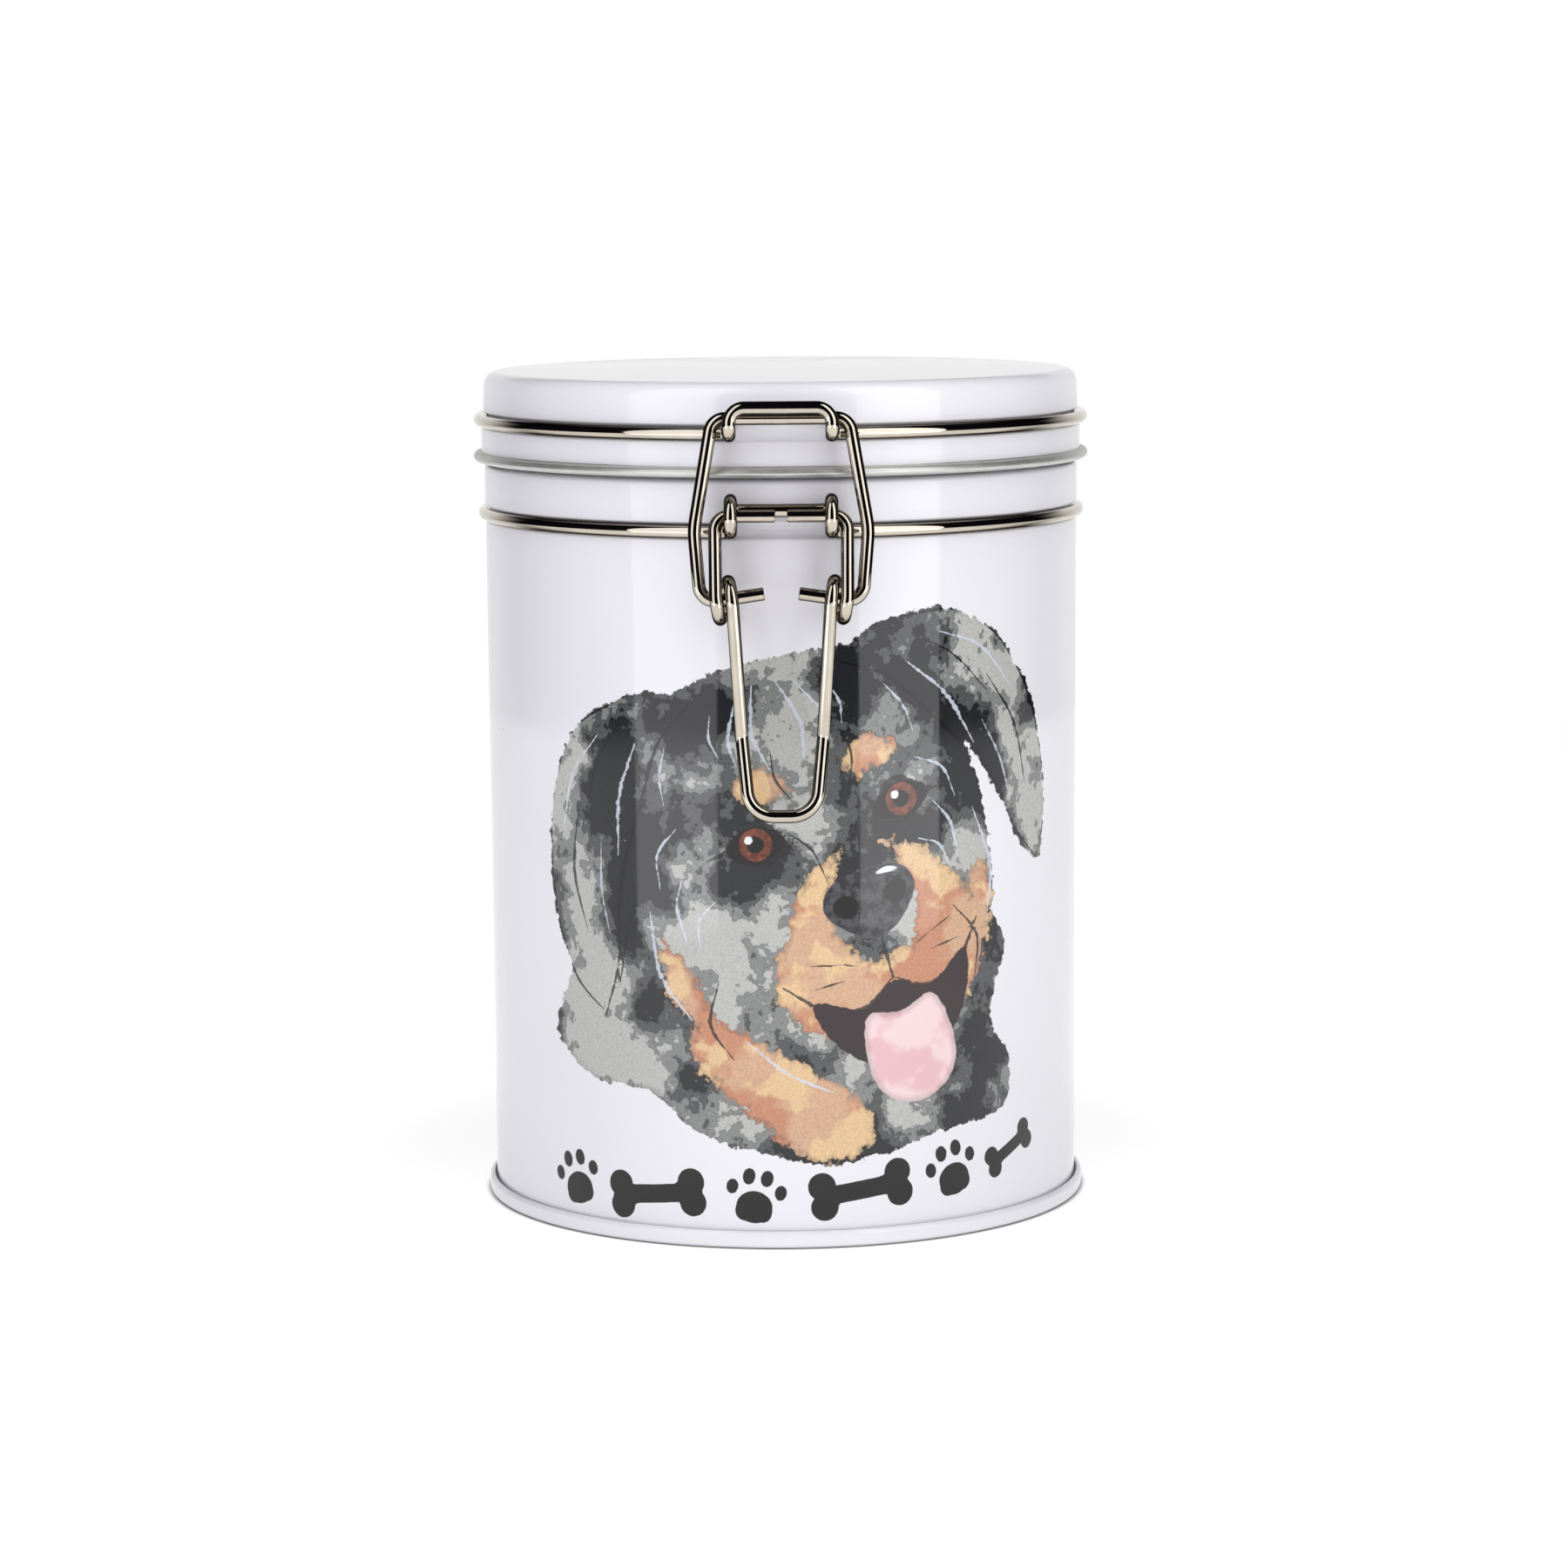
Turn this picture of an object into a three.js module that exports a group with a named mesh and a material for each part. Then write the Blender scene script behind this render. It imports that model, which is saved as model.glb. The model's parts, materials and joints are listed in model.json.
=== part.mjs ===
// Clip-top storage tin for pet food and treats: a round tinplate can with a hinged, sealed lid,
// held shut by a toggle clamp of bent wire. Millimetres, +Z up. The origin is on the can's axis,
// on the surface that the can stands on, and the clamp faces -Y.

import * as THREE from 'three';

// Sheet metal
const SHEET = 0.4;
const GAP = 0.3;
const BODY_RADIUS = 50;
const BAND_RADIUS = 50.1;
const NECK_RADIUS = 48.4;
const SHOULDER_Z = 123.9;
const SHOULDER_BEND = 1;
const NECK_FOOT = 0.6;
const RIM_Z = 136.7;
const RIM_ROLL = 0.9;
const RIM_TAIL = 1.4;
const WALL_FOOT_Z = 0.8;
const PANEL_Z = 3.3;
const SEAM_RADIUS = 51.2;
const SEAM_HEIGHT = 2.8;
const SEAM_FLOOR_Z = 0.5;
const LID_TOP_Z = 140.2;
const LID_CORNER = 2.3;
const LID_RADIUS = 49.9;
const LID_SIDE_RADIUS = 50.2;
const LID_SKIRT_Z = 130.7;
const LID_HEM_RADIUS = 50.55;
const LID_HEM_Z = 127.2;
const ROLL_RADIUS = 51.05;
const ROLL_Z = 126;
const ROLL = 0.8;
const SEAL_INNER_RADIUS = 45.6;

// Wire
const WIRE = 1.05;
const GROOVE = WIRE + 0.22;
const LID_RING_RADIUS = 50.9;
const LID_RING_Z = 132.2;
const BODY_RING_RADIUS = 50.15;
const BODY_RING_Z = 116.6;
const GROOVE_FLANK = 2.6;
const LID_FLANK = 2;
const EYE = 2.4;
const EYE_BEND = 2.38;
const RING_BEND = 1.6;

// Rear hinge
const HINGE_Y = 56.5;
const HINGE_Z = BODY_RING_Z + EYE;
const HINGE_EYE_X = 12;
const HINGE_LEG_X = 15;
const HINGE_LEG_BEND = 1.8;
const HINGE_TIP_X = 9.6;
const HINGE_TAIL = 0.6;

// Catch on the lid wire
const CATCH_X = 8.1;
const CATCH_Y = -57.1;
const CATCH_Z = 136.65;
const CATCH_FOOT_BEND = 1.9;
const CATCH_BEND = 2.4;

// Toggle clamp
const PIVOT_Y = -54.3;
const PIVOT_Z = 119.5;
const PIVOT_EYE_X = 8;
const PIVOT_BEND = 1.1;
const CROSSING_RADIUS = 51.4;
const CROSSING_Z = 120.1;
const CROSSING_BEND = 0.6;
const CROSSING_LEAD = 2;
const COIL_Y = -54.4;
const COIL_Z = 106.2;
const COIL = 3;
const COIL_OUTER_X = 10.45;
const COIL_INNER_X = 7.8;
const ARM_X = 10.55;
const ARM_BEND = 2.3;
const LEVER_TIP_X = 0.95;
const HANDLE_LEAN = 8.5;
const KINK_X = 6.5;
const KINK_Z = 84.2;
const KINK_BEND = 4;
const LOOP_X = 5.3;
const LOOP_Z = 71.85;
const LOOP_LEAN = 12;
const LOOP_BEND = 4.4;
const CROSSBAR_Y = -53.6;
const CROSSBAR_Z = 134.8;
const LINK_TOP_X = 10.8;
const LINK_TOP_BEND = 2.4;
const LINK_WAIST_X = 13.8;
const LINK_WAIST_Z = 117.3;
const LINK_WAIST_BEND = 12;
const LINK_FOOT_X = 12.85;
const LINK_FOOT_Z = 105.75;
const LINK_FOOT_BEND = 2.6;
const LINK_TIP_X = 2.75;
const LINK_TIP_Z = 107.2;

// Facets
const LATHE_SIDES = 48;
const WIRE_SIDES = 8;
const BEND_STEP = Math.PI / 6;
const RING_STEP = 7.5;
const COIL_STEP = 24;

const radians = THREE.MathUtils.degToRad;

// Points [radius, height] on an arc in the can's half-plane, angles in degrees from outward.
function arc(radius, height, bend, from, to, steps) {
  return Array.from({ length: steps + 1 }, (_, i) => {
    const angle = radians(from + ((to - from) * i) / steps);
    return [radius + bend * Math.cos(angle), height + bend * Math.sin(angle)];
  });
}

// A body of revolution about +Z from its outline of [radius, height] points.
function turned(outline) {
  const profile = outline.map(([radius, height]) => new THREE.Vector2(radius, height));
  return new THREE.LatheGeometry(profile, LATHE_SIDES).rotateX(Math.PI / 2);
}

// The wire's centreline: straight from point to point, with its own points as the steps.
class WireRoute extends THREE.Curve {
  constructor(points) {
    super();
    this.points = points;
    this.last = points.length - 1;
  }

  getPoint(t) {
    const i = Math.min(Math.floor(t * this.last), this.last - 1);
    return this.points[i].clone().lerp(this.points[i + 1], t * this.last - i);
  }

  getPointAt(u) {
    return this.getPoint(u);
  }

  getTangentAt(u) {
    const i = Math.round(u * this.last);
    const here = this.points[i];
    const arriving = i > 0 ? here.clone().sub(this.points[i - 1]).normalize() : new THREE.Vector3();
    const leaving = i < this.last ? this.points[i + 1].clone().sub(here).normalize() : new THREE.Vector3();
    return arriving.add(leaving).normalize();
  }
}

// Points along corners [x, y, z, bend radius]; a corner with no bend radius stays as one point.
function rounded(corners) {
  const at = corners.map(([x, y, z]) => new THREE.Vector3(x, y, z));
  const points = [at[0]];
  for (let i = 1; i < corners.length - 1; i += 1) {
    const bend = corners[i][3] ?? 0;
    const back = at[i - 1].clone().sub(at[i]).normalize();
    const onward = at[i + 1].clone().sub(at[i]).normalize();
    const turn = Math.PI - back.angleTo(onward);
    if (bend === 0) {
      points.push(at[i]);
    } else {
      const middle = back.clone().add(onward).normalize().multiplyScalar(bend / Math.cos(turn / 2));
      const spoke = back.clone().multiplyScalar(bend * Math.tan(turn / 2)).sub(middle);
      const axis = onward.clone().cross(back).normalize();
      const steps = Math.max(2, Math.ceil(turn / BEND_STEP));
      for (let step = 0; step <= steps; step += 1) {
        const swung = spoke.clone().applyAxisAngle(axis, (turn * step) / steps);
        points.push(at[i].clone().add(middle).add(swung));
      }
    }
  }
  points.push(at[corners.length - 1]);
  return points;
}

// A round wire bent along the corners of its left half and, mirrored in X, of its right half.
// A corner on the plane x = 0 is shared by both halves.
function bentWire(leftHalf) {
  const mirrored = leftHalf.filter(([x]) => x !== 0).map(([x, ...rest]) => [-x, ...rest]);
  const rightHalf = mirrored.reverse();
  const points = rounded([...leftHalf, ...rightHalf]);
  const section = Array.from({ length: WIRE_SIDES }, (_, i) => {
    const angle = (2 * Math.PI * i) / WIRE_SIDES;
    return new THREE.Vector2(WIRE * Math.cos(angle), WIRE * Math.sin(angle));
  });
  const options = { steps: points.length - 1, bevelEnabled: false, extrudePath: new WireRoute(points) };
  return new THREE.ExtrudeGeometry(new THREE.Shape(section), options);
}

// Angle from the front of the can, in degrees, where a ring of that radius passes x.
function frontAngle(radius, x) {
  return THREE.MathUtils.radToDeg(Math.asin(x / radius));
}

// Corners along the left side of a ring, from one angle to another, measured from the front.
function ringSide(radius, height, from, to, endBend) {
  const steps = Math.round(Math.abs(to - from) / RING_STEP);
  return Array.from({ length: steps + 1 }, (_, i) => {
    const angle = radians(from + ((to - from) * i) / steps);
    const bend = i === 0 || i === steps ? endBend : 0;
    return [-radius * Math.sin(angle), -radius * Math.cos(angle), height, bend];
  });
}

// Can wall: plain cylinder, groove for the body wire, shoulder, and a neck with an inward roll.
function bodyShell() {
  const inner = BODY_RADIUS - SHEET;
  const neckInner = NECK_RADIUS - SHEET;
  const corner = BAND_RADIUS - SHOULDER_BEND;
  const shoulderTop = SHOULDER_Z + SHOULDER_BEND;
  const rollZ = RIM_Z - RIM_ROLL;
  return turned([
    [BODY_RADIUS, WALL_FOOT_Z],
    ...arc(BODY_RING_RADIUS, BODY_RING_Z, GROOVE, 256, 124, 4),
    [BAND_RADIUS, BODY_RING_Z + GROOVE_FLANK],
    ...arc(corner, SHOULDER_Z, SHOULDER_BEND, 0, 90, 3),
    [NECK_RADIUS, shoulderTop + NECK_FOOT],
    ...arc(NECK_RADIUS - RIM_ROLL, rollZ, RIM_ROLL, 0, 240, 6),
    [neckInner, rollZ - RIM_TAIL],
    [neckInner, shoulderTop + NECK_FOOT / 2],
    ...arc(corner, SHOULDER_Z, SHOULDER_BEND - SHEET, 90, 0, 2),
    [BAND_RADIUS - SHEET, BODY_RING_Z + GROOVE_FLANK - SHEET / 2],
    ...arc(BODY_RING_RADIUS, BODY_RING_Z, GROOVE + SHEET, 130, 250, 3),
    [inner, BODY_RING_Z - 2 * WIRE],
    [inner, WALL_FOOT_Z],
    [BODY_RADIUS, WALL_FOOT_Z],
  ]);
}

// Bottom end: a raised panel, a wall up inside the can, and the seam ring that folds round its edge.
function baseEnd() {
  const wallOuter = BODY_RADIUS - SHEET - GAP;
  const wallInner = wallOuter - SHEET;
  const foldInner = BODY_RADIUS + GAP;
  const round = SHEET;
  return turned([
    [0, PANEL_Z - SHEET],
    [wallInner - round, PANEL_Z - SHEET],
    [wallInner, PANEL_Z - SHEET - round],
    [wallInner, round],
    [wallInner + round, 0],
    [SEAM_RADIUS - round, 0],
    [SEAM_RADIUS, round],
    [SEAM_RADIUS, SEAM_HEIGHT - round],
    [SEAM_RADIUS - round, SEAM_HEIGHT],
    [foldInner, SEAM_HEIGHT],
    [foldInner, SEAM_FLOOR_Z],
    [wallOuter, SEAM_FLOOR_Z],
    [wallOuter, PANEL_Z - round],
    [wallOuter - round, PANEL_Z],
    [0, PANEL_Z],
  ]);
}

// Lid: flat top, rounded corner, groove for the lid wire, and a hem rolled outwards.
function lidShell() {
  const cornerRadius = LID_RADIUS - LID_CORNER;
  const cornerZ = LID_TOP_Z - LID_CORNER;
  const hemInner = LID_HEM_RADIUS - SHEET;
  return turned([
    [0, LID_TOP_Z - SHEET],
    ...arc(cornerRadius, cornerZ, LID_CORNER - SHEET, 90, 0, 3),
    [LID_SIDE_RADIUS - SHEET, LID_RING_Z + LID_FLANK],
    ...arc(LID_RING_RADIUS, LID_RING_Z, GROOVE + SHEET, 140, 220, 2),
    [hemInner - SHEET / 2, LID_SKIRT_Z],
    [hemInner, LID_HEM_Z],
    ...arc(ROLL_RADIUS, ROLL_Z, ROLL, -150, 90, 6),
    [LID_HEM_RADIUS, LID_HEM_Z],
    ...arc(LID_RING_RADIUS, LID_RING_Z, GROOVE, 236, 122, 3),
    [LID_SIDE_RADIUS, LID_RING_Z + LID_FLANK],
    ...arc(cornerRadius, cornerZ, LID_CORNER, 0, 90, 4),
    [0, LID_TOP_Z],
  ]);
}

// Silicone ring that fills the lid's inside corner and rests on the can's rolled rim.
function lidSeal() {
  const cornerRadius = LID_RADIUS - LID_CORNER;
  const bend = LID_CORNER - SHEET - GAP;
  const top = LID_TOP_Z - SHEET - GAP;
  const bottom = RIM_Z + GAP;
  return turned([
    [SEAL_INNER_RADIUS, bottom],
    [cornerRadius + bend, bottom],
    ...arc(cornerRadius, LID_TOP_Z - LID_CORNER, bend, 0, 90, 3),
    [SEAL_INNER_RADIUS, top],
    [SEAL_INNER_RADIUS, bottom],
  ]);
}

// Lid wire, left half: hinge pin, leg, ring round the lid, then forward and up into the catch bar.
function lidWire() {
  const rear = 180 - frontAngle(LID_RING_RADIUS, HINGE_LEG_X);
  const front = frontAngle(LID_RING_RADIUS, CATCH_X);
  return bentWire([
    [-HINGE_TIP_X, HINGE_Y, HINGE_Z],
    [-HINGE_LEG_X, HINGE_Y, HINGE_Z, HINGE_LEG_BEND],
    ...ringSide(LID_RING_RADIUS, LID_RING_Z, rear, front, RING_BEND),
    [-CATCH_X, CATCH_Y, LID_RING_Z, CATCH_FOOT_BEND],
    [-CATCH_X, CATCH_Y, CATCH_Z, CATCH_BEND],
  ]);
}

// Body wire, left half: hinge eye, ring round the can, front eye, then across behind the lever.
function bodyWire() {
  const rear = 180 - frontAngle(BODY_RING_RADIUS, HINGE_EYE_X);
  const front = frontAngle(BODY_RING_RADIUS, PIVOT_EYE_X);
  const crossingY = -Math.sqrt(CROSSING_RADIUS ** 2 - PIVOT_EYE_X ** 2);
  const crossing = frontAngle(CROSSING_RADIUS, PIVOT_EYE_X);
  return bentWire([
    [-HINGE_EYE_X, HINGE_Y - EYE, HINGE_Z - HINGE_TAIL],
    [-HINGE_EYE_X, HINGE_Y - EYE, HINGE_Z + EYE, EYE_BEND],
    [-HINGE_EYE_X, HINGE_Y + EYE, HINGE_Z + EYE, EYE_BEND],
    [-HINGE_EYE_X, HINGE_Y + EYE, HINGE_Z - EYE, EYE_BEND],
    ...ringSide(BODY_RING_RADIUS, BODY_RING_Z, rear, front, RING_BEND),
    [-PIVOT_EYE_X, PIVOT_Y - EYE, PIVOT_Z - EYE, EYE_BEND],
    [-PIVOT_EYE_X, PIVOT_Y - EYE, PIVOT_Z + EYE, EYE_BEND],
    [-PIVOT_EYE_X, crossingY, PIVOT_Z + EYE, PIVOT_BEND],
    [-PIVOT_EYE_X, crossingY, CROSSING_Z, CROSSING_BEND],
    ...ringSide(CROSSING_RADIUS, CROSSING_Z, crossing - CROSSING_LEAD, 0, 0),
  ]);
}

// Lever, left half: stub through the front eye, arm, one coil about the link's pivot, and the handle.
// The coil's angle runs from the top, forwards and down. It starts where the arm comes in from the
// pivot and ends, one turn and a quarter on, along the leaning handle.
function lever() {
  const drop = PIVOT_Z - COIL_Z;
  const start = THREE.MathUtils.radToDeg(Math.acos(COIL / drop));
  const end = 360 + 90 + HANDLE_LEAN;
  const steps = Math.round((end - start) / COIL_STEP);
  const coil = Array.from({ length: steps + 1 }, (_, i) => {
    const along = i / steps;
    const angle = radians(start + (end - start) * along);
    const x = THREE.MathUtils.lerp(COIL_OUTER_X, COIL_INNER_X, along);
    return [-x, COIL_Y - COIL * Math.sin(angle), COIL_Z + COIL * Math.cos(angle)];
  });
  const [, handleY, handleZ] = coil[steps];
  const kinkY = handleY + (handleZ - KINK_Z) * Math.tan(radians(HANDLE_LEAN));
  const loopY = kinkY - (KINK_Z - LOOP_Z) * Math.tan(radians(LOOP_LEAN));
  return bentWire([
    [-LEVER_TIP_X, PIVOT_Y, PIVOT_Z],
    [-ARM_X, PIVOT_Y, PIVOT_Z, ARM_BEND],
    ...coil,
    [-KINK_X, kinkY, KINK_Z, KINK_BEND],
    [-LOOP_X, loopY, LOOP_Z, LOOP_BEND],
  ]);
}

// Link, left half: pivot stub through the lever's coil, side, and the crossbar behind the catch.
function link() {
  return bentWire([
    [-LINK_TIP_X, COIL_Y, LINK_TIP_Z],
    [-LINK_FOOT_X, COIL_Y, LINK_FOOT_Z, LINK_FOOT_BEND],
    [-LINK_WAIST_X, (COIL_Y + CROSSBAR_Y) / 2, LINK_WAIST_Z, LINK_WAIST_BEND],
    [-LINK_TOP_X, CROSSBAR_Y, CROSSBAR_Z, LINK_TOP_BEND],
  ]);
}

const MATERIALS = {
  enamel: new THREE.MeshStandardMaterial({ color: 0xf1f0f8, roughness: 0.18, metalness: 0 }),
  nickel: new THREE.MeshStandardMaterial({ color: 0xd8d2c4, roughness: 0.08, metalness: 1 }),
  silicone: new THREE.MeshStandardMaterial({ color: 0xe6e6e2, roughness: 0.55, metalness: 0 }),
};

const PIECES = {
  body_shell: [bodyShell, MATERIALS.enamel],
  base_end: [baseEnd, MATERIALS.enamel],
  body_wire: [bodyWire, MATERIALS.nickel],
  lid_shell: [lidShell, MATERIALS.enamel],
  lid_seal: [lidSeal, MATERIALS.silicone],
  lid_wire: [lidWire, MATERIALS.nickel],
  clamp_lever: [lever, MATERIALS.nickel],
  clamp_link: [link, MATERIALS.nickel],
};

const group = new THREE.Group();
for (const [name, [shape, material]] of Object.entries(PIECES)) {
  const mesh = new THREE.Mesh(shape(), material);
  mesh.name = name;
  group.add(mesh);
}

export default group;
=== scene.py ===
"""The looks of a clip-top storage tin for pet treats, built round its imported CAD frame.

Shapes are worked out in millimetres on the tin's own axes: the origin is on the axis at the foot,
the clamp faces -Y and the hinge +Y. new_piece() turns them into metres. Materials and the studio
are in metres.
"""

import json
import math

import bmesh
import bpy
import numpy as np
from mathutils import Matrix, Vector


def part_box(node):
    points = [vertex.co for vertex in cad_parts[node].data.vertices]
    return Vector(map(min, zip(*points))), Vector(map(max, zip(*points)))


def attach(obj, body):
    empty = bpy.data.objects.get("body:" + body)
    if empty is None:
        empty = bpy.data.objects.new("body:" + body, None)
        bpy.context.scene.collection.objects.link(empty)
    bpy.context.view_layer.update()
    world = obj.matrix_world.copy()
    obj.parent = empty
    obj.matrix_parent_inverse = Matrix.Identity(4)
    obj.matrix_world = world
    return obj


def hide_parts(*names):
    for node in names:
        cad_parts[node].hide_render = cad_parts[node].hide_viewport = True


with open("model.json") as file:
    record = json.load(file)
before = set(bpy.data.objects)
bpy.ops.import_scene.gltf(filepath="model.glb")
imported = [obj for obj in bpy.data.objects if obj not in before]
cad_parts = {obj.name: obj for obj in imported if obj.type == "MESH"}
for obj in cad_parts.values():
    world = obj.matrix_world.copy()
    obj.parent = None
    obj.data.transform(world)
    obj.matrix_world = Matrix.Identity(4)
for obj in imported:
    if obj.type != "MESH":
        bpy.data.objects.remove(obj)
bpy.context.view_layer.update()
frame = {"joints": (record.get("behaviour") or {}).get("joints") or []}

MM = 0.001


def box_mm(cad_node):
    """Lowest and highest corner of a CAD node, in millimetres."""
    low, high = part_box(cad_node)
    return low / MM, high / MM


def pivot_mm(joint):
    """Where a joint's axis passes the plane x = 0, in millimetres."""
    found = next(j for j in frame["joints"] if j["name"] == joint)
    return Vector(found["pos_m"]) / MM


WALL_LOW, WALL_HIGH = box_mm("body_shell")
_, END_HIGH = box_mm("base_end")
LID_LOW, LID_HIGH = box_mm("lid_shell")
SEAL_LOW, SEAL_HIGH = box_mm("lid_seal")
LID_WIRE_LOW, LID_WIRE_HIGH = box_mm("lid_wire")
BODY_WIRE_LOW, BODY_WIRE_HIGH = box_mm("body_wire")
LEVER_LOW, LEVER_HIGH = box_mm("clamp_lever")
_, LINK_HIGH = box_mm("clamp_link")
HINGE = pivot_mm("lid_hinge")
PIVOT = pivot_mm("lever_pivot")
COIL_AXIS = pivot_mm("link_pivot")

# Sheet metal
SHEET = 0.4
GAP = 0.3

# Can: a straight wall, a band just above its wire groove, a shoulder, and a neck under the lid
BAND_RADIUS = WALL_HIGH.x
WALL_RADIUS = BAND_RADIUS - 0.1
NECK_RADIUS = WALL_RADIUS - 1.6
SHOULDER_Z = 124.9
RIM_Z = WALL_HIGH.z
RIM_ROLL = 0.9
RIM_DROP = 1.4
SEAM_RADIUS = END_HIGH.x
SEAM_HEIGHT = 2.8
SEAM_FLOOR = 0.5
PANEL_Z = END_HIGH.z
BEAD_RADII = (44, 38)
BEAD_REACH = 1.8
BEAD_FLAT = 0.8
BEAD_DEPTH = 0.45

# Lid: its side widens a little from the top to the wire groove, and again to the skirt
LID_TOP_Z = LID_HIGH.z
LID_CORNER = 2.3
LID_RADIUS = 49.9
LID_SIDE = LID_RADIUS + 0.3
LID_SKIRT = LID_RADIUS + 0.65
HEM_ROLL = 0.8
HEM_RADIUS = LID_HIGH.x - HEM_ROLL
HEM_Z = LID_LOW.z + HEM_ROLL
HEM_BITE = 0.02
HEM_SEAM = 0.15

# Seal: two lips with a valley between them, under the lid's corner
SEAL_WIDTH = 3.6
SEAL_LIP = 0.9
SEAL_VALLEY = 1.8
SEAL_FLANK = 0.4
SEAL_DEPTH = 0.35
SEAL_RAISE = 0.1

# Wire: its radius, the chamfer at its ends, and the rings and eyes that it is bent into
WIRE_RADIUS = 1.05
WIRE_TIP = 0.14
LID_RING_RADIUS = LID_WIRE_HIGH.x - WIRE_RADIUS
LID_RING_Z = LID_TOP_Z - 8
BODY_RING_RADIUS = BODY_WIRE_HIGH.x - WIRE_RADIUS
BODY_RING_Z = BODY_WIRE_LOW.z + WIRE_RADIUS
EYE_RADIUS = HINGE.z - BODY_RING_Z

# Fineness of the meshes, with steps and angles in degrees
SHELL_SIDES = 240
WIRE_SIDES = 28
BEND_STEP = 6
RING_STEP = 2
COIL_STEP = 8
SHARP_ANGLE = 40

# A smaller turn than this, in radians, is straight, and a smaller radius is on the axis
STRAIGHT = 1e-4
ON_AXIS = 1e-6


def with_mirror_image(half):
    """Corners of one half, x first, and back along the other half. One at x = 0 isn't repeated."""
    return half + [(-x, *rest) for x, *rest in reversed(half) if x != 0]


def rounded(corners):
    """Points along corners (x, y, z, bend radius), where a bend is an arc in even steps."""
    at = [Vector(corner[:3]) for corner in corners]
    points = [at[0]]
    for before, here, after, corner in zip(at, at[1:], at[2:], corners[1:]):
        back = (before - here).normalized()
        onward = (after - here).normalized()
        turn = math.pi - back.angle(onward)
        bend = corner[3]
        if bend == 0 or turn < STRAIGHT:
            points.append(here)
            continue
        middle = (back + onward).normalized() * (bend / math.cos(turn / 2))
        spoke = back * bend * math.tan(turn / 2) - middle
        axis = onward.cross(back).normalized()
        steps = max(2, math.ceil(turn / math.radians(BEND_STEP)))
        for i in range(steps + 1):
            points.append(here + middle + Matrix.Rotation(turn * i / steps, 3, axis) @ spoke)
    points.append(at[-1])
    return points


def arc(radius, height, bend, start, stop, steps=12):
    """Corners (radius, height, no bend) on an arc in the tin's half-plane, in degrees from outward."""
    angles = [math.radians(start + (stop - start) * i / steps) for i in range(steps + 1)]
    return [(radius + bend * math.cos(a), height + bend * math.sin(a), 0) for a in angles]


def new_piece(name, vertices, faces, materials, face_slots=None):
    """A smooth mesh object from millimetre vertices."""
    mesh = bpy.data.meshes.new(name)
    mesh.from_pydata([Vector(v) * MM for v in vertices], [], faces)
    for material in materials:
        mesh.materials.append(material)
    if face_slots is not None:
        mesh.polygons.foreach_set("material_index", face_slots)
    mesh.shade_smooth()
    mesh.set_sharp_from_angle(angle=math.radians(SHARP_ANGLE))
    mesh.update()
    piece = bpy.data.objects.new(name, mesh)
    bpy.context.scene.collection.objects.link(piece)
    return piece


def turned(name, stretches, materials, angles=None):
    """A closed body of revolution. stretches are (material slot, corners (radius, height, bend)),
    which follow each other round the section with the metal on their left."""
    if angles is None:
        angles = [2 * math.pi * i / SHELL_SIDES for i in range(SHELL_SIDES)]
    corners = [(r, 0, z, bend) for _, part in stretches for r, z, bend in part]
    owner = [slot for slot, part in stretches for _ in part]
    section = []
    slots = []
    for i, corner in enumerate(corners):
        before = corners[i - 1]
        after = corners[(i + 1) % len(corners)]
        bent = rounded([before, corner, after])[1:-1]
        section += [(p.x, p.z) for p in bent]
        slots += [owner[i]] * len(bent)
    vertices = []
    rows = []
    for r, z in section:
        if r < ON_AXIS:
            rows.append([len(vertices)] * len(angles))
            vertices.append((0, 0, z))
        else:
            rows.append(range(len(vertices), len(vertices) + len(angles)))
            vertices += [(r * math.sin(a), -r * math.cos(a), z) for a in angles]
    faces = []
    face_slots = []
    for i, row in enumerate(rows):
        above = rows[(i + 1) % len(rows)]
        if len(set(row)) == len(set(above)) == 1:
            continue
        for j in range(len(angles)):
            k = (j + 1) % len(angles)
            loop = [row[j], row[k], above[k], above[j]]
            faces.append(list(dict.fromkeys(loop)))
            face_slots.append(slots[i])
    return new_piece(name, vertices, faces, materials, face_slots)


def bent_wire(name, left_half, material):
    """A round wire along the corners of its left half and, mirrored in X, of its right half."""
    points = rounded(with_mirror_image(left_half))
    start = (points[1] - points[0]).normalized()
    end = (points[-1] - points[-2]).normalized()
    route = [(points[0], WIRE_RADIUS - WIRE_TIP), (points[0] + start * WIRE_TIP, WIRE_RADIUS)]
    route += [(p, WIRE_RADIUS) for p in points[1:-1]]
    route += [(points[-1] - end * WIRE_TIP, WIRE_RADIUS), (points[-1], WIRE_RADIUS - WIRE_TIP)]
    vertices = []
    faces = []
    across = start.orthogonal().normalized()
    along = start
    for i, (here, radius) in enumerate(route):
        back = here - route[max(i - 1, 0)][0]
        onward = route[min(i + 1, len(route) - 1)][0] - here
        new_along = (back.normalized() + onward.normalized()).normalized()
        across = along.rotation_difference(new_along) @ across
        along = new_along
        other = along.cross(across)
        for j in range(WIRE_SIDES):
            a = 2 * math.pi * j / WIRE_SIDES
            vertices.append(here + radius * (across * math.cos(a) + other * math.sin(a)))
    for i in range(len(route) - 1):
        for j in range(WIRE_SIDES):
            k = (j + 1) % WIRE_SIDES
            low, high = i * WIRE_SIDES, (i + 1) * WIRE_SIDES
            faces.append([low + j, low + k, high + k, high + j])
    faces.append(list(reversed(range(WIRE_SIDES))))
    faces.append(list(range(len(vertices) - WIRE_SIDES, len(vertices))))
    return new_piece(name, vertices, faces, [material])


def front_angle(radius, x):
    """Angle from the front, in degrees, where a ring of that radius passes x."""
    return math.degrees(math.asin(x / radius))


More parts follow.
